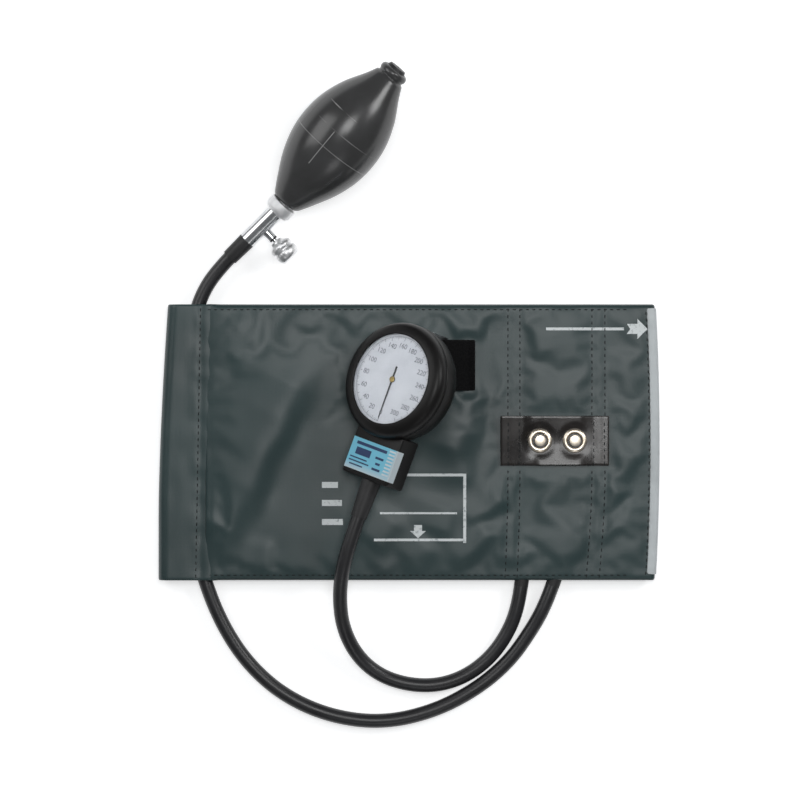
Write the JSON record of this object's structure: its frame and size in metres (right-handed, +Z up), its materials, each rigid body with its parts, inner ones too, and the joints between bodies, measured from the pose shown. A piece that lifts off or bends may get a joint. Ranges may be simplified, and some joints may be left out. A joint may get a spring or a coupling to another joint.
{
  "type": "aneroid sphygmomanometer",
  "caption": "Arm cuff folded in half with a round dial gauge hooked on its strap, two rubber hoses and a hand bulb with a release valve.",
  "frame": {"origin": "on the surface that the folded cuff lies on, under the middle of the cuff", "axes": "+X along the cuff towards its free end, +Y across the cuff towards the bulb, +Z up"},
  "size_m": [0.2608, 0.3477, 0.0617],
  "materials": {
    "nylon_slate": "satin coated nylon",
    "nylon_lining": "plain nylon",
    "index_tape": "pale woven tape",
    "bladder_rubber": "matt",
    "coated_fabric": "grained",
    "nickel": "polished nickel",
    "steel": "plain",
    "webbing_black": "loop pile",
    "gauge_black": "gloss",
    "clear_lens": "clear",
    "dial_white": "matt print",
    "label_blue": "coated label",
    "brass": "turned",
    "pointer_black": "matt",
    "capsule_bronze": "rolled",
    "hose_rubber": "satin",
    "bulb_rubber": "satin",
    "chrome": "polished",
    "collar_satin": "satin",
    "seal_rubber": "matt"
  },
  "bodies": {
    "cuff_and_gauge": {"cuff_outer_panel": "nylon_slate", "cuff_inner_panel": "nylon_lining", "top_hem": "nylon_slate", "bottom_hem": "nylon_slate", "end_hem": "nylon_slate", "index_strip": "index_tape", "cuff_fold": "nylon_slate", "bladder": "bladder_rubber", "clasp_patch": "coated_fabric", "clasp_studs": "nickel", "stud_washers": "nickel", "gauge_strap": "webbing_black", "gauge_case": "gauge_black", "gauge_bezel": "gauge_black", "gauge_lens": "clear_lens", "lens_gasket": "seal_rubber", "gauge_dial": "dial_white", "neck_label": "label_blue", "pressure_stem": "brass", "gauge_hose_sleeve": "hose_rubber", "capsule_base": "capsule_bronze", "capsule_diaphragm": "capsule_bronze", "movement_back_plate": "brass", "movement_front_plate": "brass", "movement_pillars": "brass", "plate_screws": "steel", "hairspring": "capsule_bronze", "gauge_clip": "steel", "clip_screws": "steel", "bulb": "bulb_rubber", "intake_valve_seat": "hose_rubber", "bulb_collar": "collar_satin", "valve_body": "chrome", "outlet_seat": "brass", "needle_seal": "seal_rubber", "bulb_hose_sleeve": "hose_rubber", "gauge_hose": "hose_rubber", "bulb_hose": "hose_rubber"},
    "wrap_half": {"wrap_panel": "nylon_slate", "closing_patch": "coated_fabric", "keyhole_plate": "steel"},
    "sector": {"sector_gear": "brass"},
    "pointer_set": {"pointer": "pointer_black", "pointer_arbor": "steel"},
    "rocker": {"rocking_shaft": "steel"},
    "capsule_centre": {"capsule_post": "brass"},
    "needle": {"release_needle": "chrome"},
    "knob": {"release_knob": "chrome"},
    "intake_disc": {"intake_check_disc": "seal_rubber"},
    "outlet_disc": {"outlet_check_disc": "seal_rubber"}
  },
  "joints": [
    {"name": "cuff_unfold", "type": "hinge", "parent": "cuff_and_gauge", "child": "wrap_half", "pos_m": [-0.124, 0, 0.00555], "axis": [0, 1, 0], "range_deg": [0, 180], "deforming": ["cuff_fold"]},
    {"name": "sector_turn", "type": "hinge", "parent": "cuff_and_gauge", "child": "sector", "pos_m": [-0.00571, 0.01536, 0.04783], "axis": [-0.5655, 0.2058, 0.7986], "range_deg": [0, 41.5], "stiffness_Nm_per_rad": 0.002, "deforming": ["hairspring"]},
    {"name": "pointer_turn", "type": "hinge", "parent": "cuff_and_gauge", "child": "pointer_set", "pos_m": [-0.0062, 0.0327, 0.04302], "axis": [0.5655, -0.2058, -0.7986], "range_deg": [0, 332]},
    {"name": "rocker_turn", "type": "hinge", "parent": "cuff_and_gauge", "child": "rocker", "pos_m": [0.00505, 0.0286, 0.03626], "axis": [0.342, 0.9397, 0], "range_deg": [0, 17.5]},
    {"name": "capsule_stroke", "type": "slide", "parent": "cuff_and_gauge", "child": "capsule_centre", "axis": [-0.5655, 0.2058, 0.7986], "range_m": [0, 0.0015]},
    {"name": "release_turn", "type": "hinge", "parent": "needle", "child": "knob", "pos_m": [-0.07519, 0.11295, 0.01291], "axis": [0.6947, -0.7193, 0], "range_deg": [0, 540]},
    {"name": "release_travel", "type": "slide", "parent": "cuff_and_gauge", "child": "needle", "axis": [0.6947, -0.7193, 0], "range_m": [0, 0.0012]},
    {"name": "intake_valve_lift", "type": "slide", "parent": "cuff_and_gauge", "child": "intake_disc", "axis": [-0.6383, -0.75, -0.1736], "range_m": [0, 0.0008]},
    {"name": "outlet_valve_lift", "type": "slide", "parent": "cuff_and_gauge", "child": "outlet_disc", "axis": [-0.7084, -0.6841, -0.1736], "range_m": [0, 0.0008]}
  ],
  "couplings": [
    {"joint": "sector_turn", "follows": "capsule_stroke", "rad_per_m": 482.87},
    {"joint": "pointer_turn", "follows": "capsule_stroke", "rad_per_m": 3863},
    {"joint": "rocker_turn", "follows": "capsule_stroke", "rad_per_m": 203.62},
    {"joint": "release_turn", "follows": "release_travel", "rad_per_m": 7854}
  ]
}
